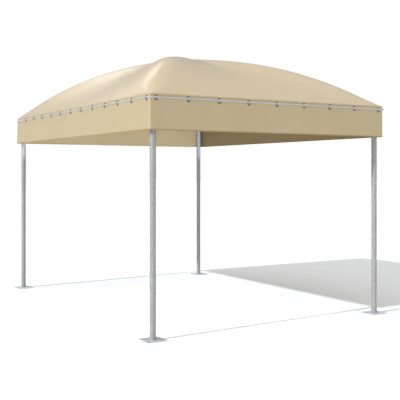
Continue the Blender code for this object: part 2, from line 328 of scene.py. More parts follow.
def zinc_material(name, colour, metallic, rough, spangle):
    """Hot-dip galvanised steel: crystal spangle, soft runs along the tube and dull patches."""
    material, tree, shader = start_material(name)
    place = tree.node("ShaderNodeTexCoord")["Object"]
    warp = tree.noise(place, 30.0, 2.0)["Color"]
    bent = tree.node("ShaderNodeVectorMath", {0: warp, 1: (0.02, 0.02, 0.02), 2: place},
                     operation="MULTIPLY_ADD")
    crystal = tree.node("ShaderNodeTexVoronoi", {"Vector": bent, "Scale": spangle}, feature="F1")
    grain = tree.node("ShaderNodeRGBToBW", {"Color": crystal["Color"]})
    drawn_out = tree.node("ShaderNodeVectorMath", {0: place, 1: (28.0, 28.0, 2.2)}, operation="MULTIPLY")
    runs = tree.noise(drawn_out, 1.0, 4.0)
    patches = tree.noise(place, 7.0, 5.0)
    tone = grain * 0.45 + runs * 0.35 + patches * 0.20
    base = tree.mix_colour(tone.step(0.2, 0.8), shade(colour, 0.84), shade(colour, 1.16))
    height = grain * 0.00008 + patches * 0.0003
    tree.fill(shader, {"Base Color": base, "Roughness": rough - 0.06 + grain * 0.10 + patches * 0.08,
                       "Normal": tree.bump(0.35, height), "Metallic": metallic})
    return material


def rod_material(colour):
    """Drawn light metal with a mild change of tone and small rub marks."""
    material, tree, shader = start_material("rod_metal")
    place = tree.node("ShaderNodeTexCoord")["Object"]
    rubs = tree.noise(place, 90.0, 3.0)
    broad = tree.noise(place, 6.0, 3.0)
    tone = (rubs * 0.6 + broad * 0.4).step(0.3, 0.7)
    base = tree.mix_colour(tone, shade(colour, 0.90), shade(colour, 1.08))
    tree.fill(shader, {"Base Color": base, "Roughness": 0.36 + rubs * 0.16,
                       "Normal": tree.bump(0.3, rubs * 0.00015), "Metallic": 0.30})
    return material


def eyelet_material():
    """Dark grey metal eyelets with a slightly worn rim."""
    material, tree, shader = start_material("eyelet_metal")
    wear = tree.noise(tree.node("ShaderNodeTexCoord")["Object"], 160.0, 3.0)
    base = tree.mix_colour(wear.step(0.35, 0.7), (0.075, 0.073, 0.07, 1.0), (0.13, 0.125, 0.12, 1.0))
    tree.fill(shader, {"Base Color": base, "Roughness": 0.38 + wear * 0.2, "Metallic": 0.7})
    return material


MATERIALS = {}


def finish_named(name):
    """One of the gazebo's materials, which are all made at the first call."""
    if not MATERIALS:
        colours = bpy.context.scene.gazebo_finishes
        MATERIALS.update(
            tarpaulin=tarpaulin_material("tarpaulin", colours.cloth, rough=0.36, coat=0.6),
            # The darker inner copy of the cloth is painted shade, used on the inside of the roof, the valance
            # and its hem cord
            inside=tarpaulin_material("tarpaulin_painted_shade", colours.inside, rough=0.50, coat=0.0),
            tube=zinc_material("galvanised_tube", colours.zinc, metallic=0.40, rough=0.42, spangle=75.0),
            plate=zinc_material("galvanised_plate", colours.plate, metallic=0.55, rough=0.50, spangle=80.0),
            bolt=zinc_material("zinc_bolts", colours.zinc, metallic=0.80, rough=0.38, spangle=240.0),
            rod=rod_material(colours.rod), eyelet=eyelet_material())
    return MATERIALS[name]


# Making and riding pieces

def link(name, data):
    """A new object in the scene."""
    made = bpy.data.objects.new(name, data)
    bpy.context.scene.collection.objects.link(made)
    return made


def add_piece(name, mesh, *nodes):
    """A finished piece from a mesh that lies in its place and in place of CAD nodes."""
    piece = link(name, mesh)
    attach(piece, "root")
    if nodes:
        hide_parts(*nodes)
    return piece


def mesh_from(name, builder, *finishes, crease=CREASE):
    """A mesh from a filled bmesh, with faces outwards and smooth shading under an angle."""
    bmesh.ops.recalc_face_normals(builder, faces=builder.faces)
    mesh = bpy.data.meshes.new(name)
    builder.to_mesh(mesh)
    builder.free()
    for finish in finishes:
        mesh.materials.append(finish_named(finish))
    mesh.shade_smooth()
    mesh.set_sharp_from_angle(angle=crease)
    return mesh


def baked(thing, *helpers):
    """The evaluated mesh of an object with modifiers. The object and its helpers are removed."""
    bpy.context.view_layer.update()
    graph = bpy.context.evaluated_depsgraph_get()
    mesh = bpy.data.meshes.new_from_object(thing.evaluated_get(graph))
    mesh.name = thing.name
    for used in (thing, *helpers):
        bpy.data.objects.remove(used, do_unlink=True)
    return mesh


def cut_out(name, mesh, cutter_mesh):
    """A mesh with another one cut out of it."""
    body, cutter = link(name, mesh), link("cutter", cutter_mesh)
    adjust(body.modifiers.new("cut", "BOOLEAN"), operation="DIFFERENCE", solver="EXACT", object=cutter)
    pierced = baked(body, cutter)
    pierced.set_sharp_from_angle(angle=CREASE)
    return pierced


def grow(name, build, inputs, finishes, *nodes):
    """Run a geometry tree with named inputs, and add its result as a plain mesh."""
    group = bpy.data.node_groups.new(name, "GeometryNodeTree")
    group.interface.new_socket("Geometry", in_out="OUTPUT", socket_type="NodeSocketGeometry")
    named = {}
    for label, value in inputs.items():
        kind = "NodeSocketInt" if isinstance(value, int) else "NodeSocketFloat"
        named[label] = group.interface.new_socket(label, in_out="INPUT", socket_type=kind).identifier
    tree = Tree(group)
    geometry = build(tree, tree.node("NodeGroupInput"))
    real = tree.node("GeometryNodeRealizeInstances", {"Geometry": geometry})
    painted = tree.node("GeometryNodeSetMaterial", {"Geometry": real, "Material": finish_named(finishes[0])})
    tree.fill(group.nodes.new("NodeGroupOutput"), {"Geometry": painted})
    holder = link(name, bpy.data.meshes.new(name))
    modifier = adjust(holder.modifiers.new(name, "NODES"), node_group=group)
    for label, value in inputs.items():
        modifier[named[label]] = value
    mesh = baked(holder)
    mesh.materials.clear()
    for finish in finishes:
        mesh.materials.append(finish_named(finish))
    return add_piece(name, mesh, *nodes)


def spread(first, last, count):
    """Evenly spaced values with both ends."""
    return [first + (last - first) * i / (count - 1) for i in range(count)]


def circle(radius, steps, first=0.0):
    """Evenly spaced points round a flat circle."""
    turns = [2 * math.pi * (i + first) / steps for i in range(steps)]
    return [(radius * math.cos(a), radius * math.sin(a)) for a in turns]


def level_ring(radius, z, steps, centre=(0.0, 0.0)):
    return [Vector((centre[0] + x, centre[1] + y, z)) for x, y in circle(radius, steps)]


def loft(builder, rings, loop=False):
    """Faces through a row of rings of points with equal counts, closed at the ends or as a loop."""
    rows = [[builder.verts.new(point) for point in ring] for ring in rings]
    count = len(rows[0])
    pairs = list(zip(rows, rows[1:]))
    if loop:
        pairs.append((rows[-1], rows[0]))
    for near, far in pairs:
        for i in range(count):
            k = (i + 1) % count
            builder.faces.new((near[i], near[k], far[k], far[i]))
    if not loop:
        builder.faces.new(rows[0])
        builder.faces.new(rows[-1])


Side = namedtuple("Side", "name turn spin half out reach count")


def sides():
    """Each side's turn, half width and distance out, and the reach and count of its fixings."""
    fixings = bpy.context.scene.gazebo_fixings
    short, long = (HALF_X, HALF_Y, POST_X, fixings.end_count), (HALF_Y, HALF_X, POST_Y, fixings.side_count)
    turns = [math.radians(90 * i) for i in range(4)]
    return [Side(name, turn, Matrix.Rotation(turn, 3, "Z"), *sizes)
            for name, turn, sizes in zip(SIDES, turns, (short, long, short, long))]


# Roof skin

def hip_height(t, sizes):
    """Height of the skin on a hip, from the crown at t = 0 to the eave at t = 1."""
    t = min(t, 1.0)
    breadth = max(sizes.hip_breadth * math.sqrt(min((1 - t) / HIP_FOOT, 1)), LEAST_BREADTH)
    rounded = min(t + breadth / 4, 1)
    rise = sizes.dome_rise * (1 - rounded ** sizes.hip_power) ** sizes.hip_fullness
    return EAVE + rise + sizes.hip_swell * 4 * t * (1 - t) + CROWN_FILL * math.exp(-(t / CROWN_BREADTH) ** 2)


def roof_skin_nodes(tree, given):
    """A grid whose rings become the dome, the rolled eave edge and the welded lip."""
    lip_rings, even_share, held_edge, fall_share = 3, 0.14, 0.3, 0.45
    pucker_reach, pucker_power, edge_reach, lip_hold = 0.22, 6.0, 0.030, 0.75

    cells = given["Cells"]
    half_x, half_y = given["Half X"], given["Half Y"]
    count = (cells + lip_rings) * 2 + 1
    size = (cells + lip_rings) * 2 / cells
    grid = tree.node("GeometryNodeMeshGrid",
                     {"Size X": size, "Size Y": size, "Vertices X": count, "Vertices Y": count})
    raw_x, raw_y, _ = tree.split(tree.node("GeometryNodeInputPosition"))
    reach = abs(raw_x).at_least(abs(raw_y))
    within = reach.at_least(1.0)
    lip = ((reach - 1.0) * cells / float(lip_rings)).at_least(0.0)

    def packed_towards_eave(raw):
        share = raw / within
        return share * even_share + (share * (math.pi / 2)).sine() * (1 - even_share)

    u = packed_towards_eave(raw_x)
    v = packed_towards_eave(raw_y)
    ring = abs(u).at_least(abs(v))
    other = abs(u).at_most(abs(v))
    on_side = abs(u).above(abs(v))

    def by_side(side_value, end_value):
        return side_value * on_side + end_value * (1 - on_side)

    foot = ((1 - ring) / HIP_FOOT).clamp().root()
    breadth = (given["Hip breadth"] * foot).at_least(LEAST_BREADTH)
    blend = (1 - (ring - other) / breadth).at_least(0.0)
    t = (ring + blend * blend * breadth / 4).at_most(1.0)
    rise = given["Dome rise"] * (1 - t ** given["Hip power"]).at_least(0.0) ** given["Hip fullness"]
    off_hip = (ring - other) / given["Swell breadth"]
    rise = rise + (-(off_hip * off_hip)).exponential() * given["Hip swell"] * 4 * ring * (1 - ring)
    rise = rise + (-(ring * ring / CROWN_BREADTH ** 2)).exponential() * CROWN_FILL
    ratio = other / ring.at_least(0.001)
    depth = by_side(given["Side sag"], given["End sag"])
    sag = depth * ring ** SAG_RISE * (1 - ring).at_least(0.0) ** SAG_FALL / SAG_PEAK
    sag = sag * (1 - ratio ** SAG_ACROSS)

    inset = (1 - ring) * by_side(half_x, half_y)
    radius = given["Eave roll"]
    turned_in = (radius - inset).at_least(0.0)
    roll = radius - (radius * radius - turned_in * turned_in).at_least(0.0).root()
    along = by_side(v * half_y, u * half_x)
    pitch = by_side(given["Side pitch"], given["End pitch"])
    beat = ((along / pitch * (2 * math.pi)).cosine() * 0.5 + 0.5) ** pucker_power
    near_eave = (1 - inset / pucker_reach).at_least(0.0) ** 2.0
    pucker = given["Pucker"] * beat * near_eave
    noise = tree.noise(tree.vector(u * half_x, v * half_y, 0.0), scale=1.6, detail=1.0, rough=0.4)
    free = (1 - ratio ** 4.0) * (inset / held_edge).at_most(1.0)
    uneven = (noise - 0.5) * given["Unevenness"] * 2.0 * free
    z = given["Eave"] + rise - sag - roll - pucker + uneven - lip * given["Lip"]
    overhang = given["Eave overhang"] * (1 - inset / edge_reach).at_least(0.0) * (1 - lip * lip_hold)
    drift = 1 - ring * ring
    x = u * (half_x + overhang) + drift * given["Crown drift x"]
    y = v * (half_y + overhang) + drift * given["Crown drift y"]

    cloth = tree.vector(along, inset + abs(z - given["Eave"]) * fall_share, 0.0)
    stored = tree.node("GeometryNodeStoreNamedAttribute", {"Geometry": grid, "Name": "cloth", "Value": cloth},
                       data_type="FLOAT2", domain="CORNER")
    hip = (ring - other) * (HALF_X * HALF_Y / HALF_DIAGONAL)
    stored = tree.node("GeometryNodeStoreNamedAttribute", {"Geometry": stored, "Name": "seam", "Value": hip},
                       data_type="FLOAT", domain="POINT")
    shaped = tree.node("GeometryNodeSetPosition", {"Geometry": stored, "Position": tree.vector(x, y, z)})
    return tree.node("GeometryNodeSetShadeSmooth", {"Geometry": shaped})


class GAZEBO_OT_roof_skin(bpy.types.Operator):
    """Build the stretched tarpaulin roof, one sheet over the four arches"""

    bl_idname = "gazebo.roof_skin"
    bl_label = "Roof skin"

    def execute(self, context):
        sizes = context.scene.gazebo_canopy
        fixings = context.scene.gazebo_fixings
        inside_edge = 0.001
        given = ("cells", "dome_rise", "hip_power", "hip_fullness", "hip_breadth", "hip_swell",
                 "swell_breadth", "end_sag", "side_sag", "crown_drift_x", "crown_drift_y", "eave_roll",
                 "eave_overhang", "lip", "pucker", "unevenness")
        inputs = {name.replace("_", " ").capitalize(): getattr(sizes, name) for name in given}
        inputs.update({
            "Half X": HALF_X - inside_edge, "Half Y": HALF_Y - inside_edge, "Eave": EAVE + inside_edge,
            "Side pitch": POST_Y * 2 / (fixings.side_count - 1),
            "End pitch": POST_X * 2 / (fixings.end_count - 1)})
        piece = grow("roof_skin", roof_skin_nodes, inputs, ["tarpaulin", "inside"],
                     *(f"roof_panel_{side}" for side in SIDES))
        wall = piece.modifiers.new("cloth", "SOLIDIFY")
        # The inner face of the solidified skin takes the darker copy of the cloth: painted shade
        adjust(wall, thickness=sizes.cloth, offset=-1.0, material_offset=1)
        return {"FINISHED"}


# Valance

HEM_WAVES = ((17, 1.0, 0.6), (31, 0.6, 2.1))


def perimeter(radius, step, corner_steps):
    """Points round the eave with its rounded corners: place, outward normal and distance run."""
    points = []
    for side in sides():
        end = side.half - radius
        for x in spread(-end, end, max(int(round(2 * end / step)), 2) + 1):
            points.append((side.spin @ Vector((x, -side.out, 0)), side.spin @ Vector((0, -1, 0))))
        centre = Vector((end, -side.out + radius, 0))
        for k in range(1, corner_steps):
            bend = math.radians(90) * k / corner_steps
            normal = Vector((math.sin(bend), -math.cos(bend), 0))
            points.append((side.spin @ (centre + normal * radius), side.spin @ normal))
    run, last = 0.0, points[0][0]
    listed = []
    for place, normal in points:
        run += (place - last).length
        last = place
        listed.append((place, normal, run))
    return listed


def hang_out(place, z, run, total, sizes):
    """How far the valance stands out from its plane at a point, more towards the hem."""
    skin_gap, top_draw, flare_power = 0.0006, 0.0004, 1.3
    corner_reach, corner_power = 0.7, 12
    depth = min(max((ROD_HEIGHT - z) / (ROD_HEIGHT - VALANCE_BOTTOM), 0.0), 1.0)
    top = min(max((z - ROD_HEIGHT) / (EAVE - ROD_HEIGHT), 0.0), 1.0)
    turn = 2 * math.pi * run / total
    waves = sum(size * math.sin(count * turn + start) for count, size, start in HEM_WAVES)
    swing = sizes.flare + sizes.wave * waves
    if place.x < 0:
        near_front = math.exp(-((place.y + HALF_Y) / corner_reach) ** 2)
        swing += sizes.corner_flare * near_front * min(-place.x / HALF_X, 1.0) ** corner_power
    return skin_gap + swing * depth ** flare_power - top_draw * top


def valance_profile(sizes):
    """Outline of the valance in (outward, height), round its hem cord, and how many points are outside."""
    under_skin, fold_edge, bead_edge = 0.009, 0.008, 0.009
    half, folded = sizes.cloth / 2, sizes.cloth * 1.3
    hem_top = VALANCE_BOTTOM + sizes.hem_depth
    bead = VALANCE_BOTTOM + sizes.hem_bead
    outer = [(half, z) for z in spread(EAVE - under_skin, hem_top, 13)]
    outer += [(folded, z) for z in (hem_top - fold_edge, (hem_top + bead) / 2, bead + bead_edge)]
    arc = [(sizes.hem_bead * math.cos(a), bead + sizes.hem_bead * math.sin(a))
           for a in spread(math.radians(62), math.radians(-242), 12)]
    inner = [(-out, z) for out, z in reversed(outer)]
    return outer + arc + inner, len(outer)


def eyelet_cutters():
    """Prisms through the valance at every eyelet, upright ovals with straight flanks."""
    fixings = bpy.context.scene.gazebo_fixings
    reach_through, steps = 0.02, 24
    radius = fixings.hole_width / 2
    straight = fixings.hole_height / 2 - radius
    outline = [(a, b + math.copysign(straight, b)) for a, b in circle(radius, steps, 0.5)]
    builder = bmesh.new()
    for side in sides():
        for x in spread(-side.reach, side.reach, side.count):
            loft(builder, [[side.spin @ Vector((x + a, y, ROD_HEIGHT - fixings.drop + b)) for a, b in outline]
                           for y in (-side.out - reach_through, -side.out + reach_through)])
    return mesh_from("eyelet_cutters", builder)


def store_cloth_coordinates(builder, path, count, total):
    """Cloth coordinates in metres, and the distance to the nearest welded corner seam."""
    layer = builder.loops.layers.uv.new("cloth")
    seam = builder.verts.layers.float.new("seam")
    corners = [Vector((x * HALF_X, y * HALF_Y, 0)) for x, y in CORNERS.values()]
    for vertex in builder.verts:
        place = path[vertex.index // count][0]
        vertex[seam] = min((place - corner).length for corner in corners)
    for face in builder.faces:
        for corner in face.loops:
            run = path[corner.vert.index // count][2]
            if face.index >= (len(path) - 1) * count and run == 0.0:
                run = total
            corner[layer].uv = (run, corner.vert.co.z)


class GAZEBO_OT_valance(bpy.types.Operator):
    """Build the hanging valance with its hem cord and eyelet holes"""

    bl_idname = "gazebo.valance"
    bl_label = "Valance"

    def execute(self, context):
        sizes = context.scene.gazebo_canopy
        path = perimeter(radius=0.012, step=0.036, corner_steps=6)
        total = path[-1][2] + (path[0][0] - path[-1][0]).length
        outline, outside = valance_profile(sizes)
        count = len(outline)
        builder = bmesh.new()
        loft(builder, [[place + normal * (out + hang_out(place, z, run, total, sizes)) + Vector((0, 0, z))
                        for out, z in outline] for place, normal, run in path], loop=True)
        builder.verts.index_update()
        builder.faces.index_update()
        store_cloth_coordinates(builder, path, count, total)
        for face in builder.faces:
            # The hem cord and the inner face take the darker copy of the cloth: painted shade inside and
            # along the hem's lower edge
            face.material_index = outside <= face.index % count + 1 < count
        cloth = mesh_from("valance", builder, "tarpaulin", "inside")
        pierced = cut_out("valance", cloth, eyelet_cutters())
        piece = add_piece("valance", pierced, *(f"valance_{side}" for side in SIDES))
        return {"FINISHED"}


# Eyelets, staples and lacing rod

def moved(tree, geometry, **how):
    """Geometry after a Translation, Rotation or Scale."""
    return tree.node("GeometryNodeTransform", {"Geometry": geometry, **how})


def rounded_box(tree, width, height, radius, steps):
    """A closed rectangle of a curve with round corners."""
    box = tree.node("GeometryNodeCurvePrimitiveQuadrilateral", {"Width": width, "Height": height})
    return tree.node("GeometryNodeFilletCurve", {"Curve": box, "Count": steps, "Radius": radius}, mode="POLY")


def swept(tree, path, radius, steps, flat=(1.0, 1.0, 1.0)):
    """A smooth bar along a curve, round or flattened."""
    ring = tree.node("GeometryNodeCurvePrimitiveCircle", {"Resolution": steps, "Radius": radius})
    bar = tree.node("GeometryNodeCurveToMesh",
                    {"Curve": path, "Profile Curve": moved(tree, ring, Scale=flat), "Fill Caps": True})
    return tree.node("GeometryNodeSetShadeSmooth", {"Geometry": bar})


def rows_on_sides(tree, instance, height, distance):
    """Copies of one shape along all four sides, each facing out."""
    rows = []
    for side in sides():
        line = tree.node("GeometryNodeMeshLine", {
            "Count": side.count, "Start Location": (-side.reach, -side.out - distance, height),
            "Offset": (side.reach, -side.out - distance, height)}, mode="END_POINTS")
        row = tree.node("GeometryNodeInstanceOnPoints", {"Points": line, "Instance": instance})
        rows.append(moved(tree, row, Rotation=(0.0, 0.0, side.turn)))
    return tree.node("GeometryNodeJoinGeometry", {"Geometry": rows})


class GAZEBO_OT_eyelets(bpy.types.Operator):
    """Press an oval metal eyelet round every hole of the valance"""

    bl_idname = "gazebo.eyelets"
    bl_label = "Eyelets"

    def execute(self, context):
        fixings = context.scene.gazebo_fixings
        flat = (fixings.rim_depth / fixings.rim, 1.0, 1.0)
        corner_steps, proud = 7, 0.0006

        def build(tree, given):
            width = given["Width"] + given["Rim"]
            oval = rounded_box(tree, width, given["Height"] + given["Rim"], width * 0.499, corner_steps)
            even = tree.node("GeometryNodeResampleCurve", {"Curve": oval, "Count": corner_steps * 6})
            upright = moved(tree, even, Rotation=(math.pi / 2, 0.0, 0.0))
            ring = swept(tree, upright, given["Rim"] / 2, 8, flat)
            return rows_on_sides(tree, ring, ROD_HEIGHT - fixings.drop, proud)

        inputs = {"Width": fixings.hole_width, "Height": fixings.hole_height, "Rim": fixings.rim}
        grow("eyelets", build, inputs, ["eyelet"])
        return {"FINISHED"}


class GAZEBO_OT_staples(bpy.types.Operator):
    """Weld a round-bar staple to the beams at every eyelet"""

    bl_idname = "gazebo.staples"
    bl_label = "Staples"

    def execute(self, context):
        play, bend = 0.0015, 0.007

        def build(tree, given):
            bar = given["Bar"]
            depth = (BEAM_SETBACK - BEAM_LOW.y - HALF_Y) * 2 - bar
            loop = rounded_box(tree, depth, ROD_RADIUS * 2 + play + bar, bend, 5)
            upright = moved(tree, loop, Rotation=(math.pi / 2, 0.0, math.pi / 2))
            return rows_on_sides(tree, swept(tree, upright, bar / 2, 8), ROD_HEIGHT, -BEAM_SETBACK)

        grow("staples", build, {"Bar": context.scene.gazebo_fixings.staple_bar}, ["rod"])
        return {"FINISHED"}


class GAZEBO_OT_lacing_rod(bpy.types.Operator):
    """Run the light rod through the staples, all round the eave"""

    bl_idname = "gazebo.lacing_rod"
    bl_label = "Lacing rod"

    def execute(self, context):
        def build(tree, given):
            bends = rounded_box(tree, given["Width"], given["Length"], given["Bend"], 8)
            raised = moved(tree, bends, Translation=(0.0, 0.0, ROD_HEIGHT))
            spaced = tree.node("GeometryNodeSubdivideCurve", {"Curve": raised, "Cuts": 6})
            return swept(tree, spaced, given["Radius"], 16)

        inputs = {"Width": (HALF_X + ROD_LINE) * 2, "Length": (HALF_Y + ROD_LINE) * 2, "Bend": 0.0125,
                  "Radius": ROD_RADIUS}
        rod = grow("lacing_rod", build, inputs, ["rod"], *(f"lacing_rod_{side}" for side in SIDES))
        rod.visible_shadow = False
        return {"FINISHED"}


# Steel frame

def rounded_square(side, radius, steps):
    """Points round a square with rounded corners, from 0 to side both ways."""
    far = side - radius
    points = []
    for k, (cx, cy) in enumerate(((far, far), (radius, far), (radius, radius), (far, radius))):
        for i in range(steps + 1):
            a = math.radians(90) * (k + i / steps)
            points.append((cx + radius * math.cos(a), cy + radius * math.sin(a)))
    return points


def turned(builder, profile_at, centre, steps):
    """Spin a closed profile of (radius, height) about an upright axis. It may differ from step to step."""
    loft(builder, [[Vector((centre[0] + r * x, centre[1] + r * y, z)) for r, z in profile_at(i)]
                   for i, (x, y) in enumerate(circle(1.0, steps))], loop=True)


def weld_bead(builder, centre, z, upward):
    """A fillet weld round a post, with the small ripples of its runs."""
    size, root, ripple, ripple_steps, steps = 0.0045, 0.0015, 0.10, 6, 96
    outline = ((1.0, 0.0), (0.72, 0.42), (0.42, 0.72), (0.0, 1.0))

    def profile_at(i):
        swell = size * (1 + ripple * math.sin(i * 2 * math.pi / ripple_steps))
        bead = [(POST_RADIUS + swell * out, z + upward * swell * up) for out, up in outline]
        return [(POST_RADIUS - root, z), *bead, (POST_RADIUS - root, z + upward * swell)]

    turned(builder, profile_at, centre, steps)


def plate_mesh(name, centre, low, high, bevel, holes=()):
    """A flat plate with eased edges and round holes."""
    depth = high.z - low.z
    place = Matrix.Translation((*centre, (low.z + high.z) / 2))
    builder = bmesh.new()
    sizes = Matrix.Diagonal((high.x - low.x, high.y - low.y, depth, 1))
    bmesh.ops.create_cube(builder, size=1.0, matrix=place @ sizes)
    upright = [e for e in builder.edges if abs(e.verts[0].co.z - e.verts[1].co.z) > bevel]
    bmesh.ops.bevel(builder, geom=upright, offset=bevel * 4, segments=4, profile=0.5, affect="EDGES")
    rim = [e for e in builder.edges if abs(e.verts[0].co.z - e.verts[1].co.z) < bevel / 10]
    bmesh.ops.bevel(builder, geom=rim, offset=bevel, segments=2, profile=0.5, affect="EDGES")
    plate = mesh_from(name, builder, "plate")
    if not holes:
        return plate
    drill = bmesh.new()
    for x, y, radius in holes:
        bmesh.ops.create_cone(drill, cap_ends=True, segments=24, radius1=radius, radius2=radius,
                              depth=depth * 3, matrix=Matrix.Translation((x, y, 0)) @ place)
    return cut_out(name, plate, mesh_from("drill", drill))


def stack_fastener(builder, centre, face, upward, size):
    """A washer and a chamfered hexagon head that stand on a face."""
    washer_depth, seat = 0.0018, 0.0001
    washer = ((size * 1.05, 24, 0.0), (size * 1.05, 24, washer_depth))
    head = ((size * 0.92, 6, washer_depth), (size * 0.92, 6, washer_depth + size * 0.58),
            (size * 0.80, 6, washer_depth + size * 0.66))
    for rings in (washer, head):
        loft(builder, [level_ring(radius, face + upward * (seat + lift), steps, centre)
                       for radius, steps, lift in rings])


def arch_mesh(name, sizes, turn):
    """A round tube that follows its hip just under the skin, cut level on its shoe."""
    radius, clearance, steps, tube_steps = 0.019, 0.0022, 48, 24
    before, after = 0.002, 0.0001
    sideways = Vector((0, 1, 0))
    centres = []
    for i in range(steps + 1):
        t = max(math.sin(math.pi / 2 * i / steps), before * 2)
        slope = (hip_height(max(t - before, 0.0), sizes) - hip_height(t + after, sizes)) / (before + after)
        below = SKIN_DEPTH + (radius + clearance) * math.hypot(1, slope / HALF_X)
        centres.append(Vector((HALF_DIAGONAL * t, 0, hip_height(t, sizes) - below)))
    builder = bmesh.new()
    rings = []
    for k, centre in enumerate(centres):
        along = (centres[min(k + 1, steps)] - centres[max(k - 1, 0)]).normalized()
        up = along.cross(sideways)
        rings.append([centre + sideways * x + up * y for x, y in circle(radius, tube_steps)])
    loft(builder, rings)
    in_hub = 0.002
    for point, normal in (((0, 0, SHOE_HIGH.z + SEAT_GAP), (0, 0, 1)),
                          ((HUB_HIGH.x - in_hub, 0, 0), (1, 0, 0))):
        geometry = builder.verts[:] + builder.edges[:] + builder.faces[:]
        cut = bmesh.ops.bisect_plane(builder, geom=geometry, plane_co=point, plane_no=normal,
                                     clear_inner=True)
        edges = [e for e in cut["geom_cut"] if isinstance(e, bmesh.types.BMEdge)]
        bmesh.ops.edgeloop_fill(builder, edges=edges)
    bmesh.ops.rotate(builder, verts=builder.verts, cent=(0, 0, 0), matrix=Matrix.Rotation(turn, 3, "Z"))
    return mesh_from(name, builder, "tube")


class GAZEBO_OT_eave_beams(bpy.types.Operator):
    """Build the mitred square tubes behind the valance"""

    bl_idname = "gazebo.eave_beams"
    bl_label = "Eave beams"

    def execute(self, context):
        outline = rounded_square(BEAM_SIDE, 0.006, 4)
        for side in sides():
            end = side.half - BEAM_SETBACK - SEAT_GAP
            face = -side.out + BEAM_SETBACK
            builder = bmesh.new()
            loft(builder, [[side.spin @ Vector((sign * (end - depth), face + depth, BEAM_LOW.z + z))
                            for depth, z in outline] for sign in (-1, 1)])
            name = f"beam_{side.name}"
            add_piece(name, mesh_from(name, builder, "tube"), f"eave_beam_{side.name}")
        return {"FINISHED"}


class GAZEBO_OT_posts(bpy.types.Operator):
    """Build the round posts and the welds at their feet and heads"""

    bl_idname = "gazebo.posts"
    bl_label = "Posts"

    def execute(self, context):
        wall, gap = 0.003, 0.0001
        low, high = POST_LOW.z, POST_HIGH.z
        profile = [*((POST_RADIUS, z) for z in spread(low, high, 4)),
                   (POST_RADIUS - wall, high), (POST_RADIUS - wall, low)]
        for corner, centre in POSTS.items():
            tube, welds = bmesh.new(), bmesh.new()
            turned(tube, lambda i: profile, centre, 64)
            add_piece(f"tube_{corner}", mesh_from(f"tube_{corner}", tube, "tube"), f"post_{corner}")
            weld_bead(welds, centre, PLATE_HIGH.z + gap, 1)
            weld_bead(welds, centre, HEAD_LOW.z - gap, -1)
            add_piece(f"welds_{corner}", mesh_from(f"welds_{corner}", welds, "tube", crease=math.radians(60)))
        return {"FINISHED"}


class GAZEBO_OT_plates(bpy.types.Operator):
    """Build the base plates, head plates and arch shoes"""

    bl_idname = "gazebo.plates"
    bl_label = "Plates"

    def execute(self, context):
        radius = context.scene.gazebo_fixings.anchor_hole / 2
        edge = (PLATE_HIGH.x - PLATE_LOW.x) / 2 - ANCHOR_INSET
        anchors = [(x * edge, y * edge, radius) for x, y in CORNERS.values()]
        plates = (("foot", "base_plate", PLATE_LOW, PLATE_HIGH, 0.0008, anchors),
                  ("cap", "head_plate", HEAD_LOW, HEAD_HIGH, 0.0008, ()),
                  ("shoe", "arch_shoe", SHOE_LOW, SHOE_HIGH, 0.0007, ()))
        for corner, centre in POSTS.items():
            for name, node, *shape in plates:
                mesh = plate_mesh(f"{name}_{corner}", centre, *shape)
                add_piece(f"{name}_{corner}", mesh, f"{node}_{corner}")
        return {"FINISHED"}


class GAZEBO_OT_bolts(bpy.types.Operator):
    """Set hexagon bolts under the head plates and nuts on the arch shoes"""

    bl_idname = "gazebo.bolts"
    bl_label = "Bolts"

    def execute(self, context):
        size = context.scene.gazebo_fixings.bolt
        builder = bmesh.new()
        for sign_x, sign_y in CORNERS.values():
            for x, y in BOLT_OFFSETS:
                centre = (sign_x * (POST_X + x), sign_y * (POST_Y + y))
                stack_fastener(builder, centre, HEAD_LOW.z, -1, size)
                stack_fastener(builder, centre, SHOE_HIGH.z, 1, size)
        add_piece("frame_bolts", mesh_from("frame_bolts", builder, "bolt", crease=math.radians(25)))
        return {"FINISHED"}


class GAZEBO_OT_arches(bpy.types.Operator):
    """Build the four diagonal arch tubes and the hub that joins them"""

    bl_idname = "gazebo.arches"
    bl_label = "Arches and hub"

    def execute(self, context):
        sizes = context.scene.gazebo_canopy
        for corner, (sign_x, sign_y) in CORNERS.items():
            mesh = arch_mesh(f"arch_{corner}", sizes, math.atan2(sign_y * HALF_Y, sign_x * HALF_X))
            add_piece(f"arch_{corner}", mesh, f"dome_arch_{corner}")
        builder = bmesh.new()
        radius, ease, clearance = (HUB_HIGH.x - HUB_LOW.x) / 2, 0.003, 0.0105
        top = HUB_HIGH.z - clearance
        profile = ((radius - ease, HUB_LOW.z), (radius, HUB_LOW.z + ease), (radius, top - ease * 2),
                   (radius - ease * 4, top))
        loft(builder, [level_ring(r, z, 64) for r, z in profile])
        add_piece("hub", mesh_from("hub", builder, "plate"), "dome_hub")
        return {"FINISHED"}


# Stage

def add_floor():
    """A plain pale floor, far wider than the view."""
    half = 120.0
    mesh = bpy.data.meshes.new("floor")
    mesh.from_pydata([(x * half, y * half, 0.0) for x, y in CORNERS.values()], [], [(0, 1, 2, 3)])
    material, tree, shader = start_material("pale_floor")
    tree.fill(shader, {"Base Color": (0.754, 0.799, 0.840, 1.0), "Roughness": 0.9, "Specular IOR Level": 0.1})
    mesh.materials.append(material)
    floor = link("floor", mesh)
    return floor


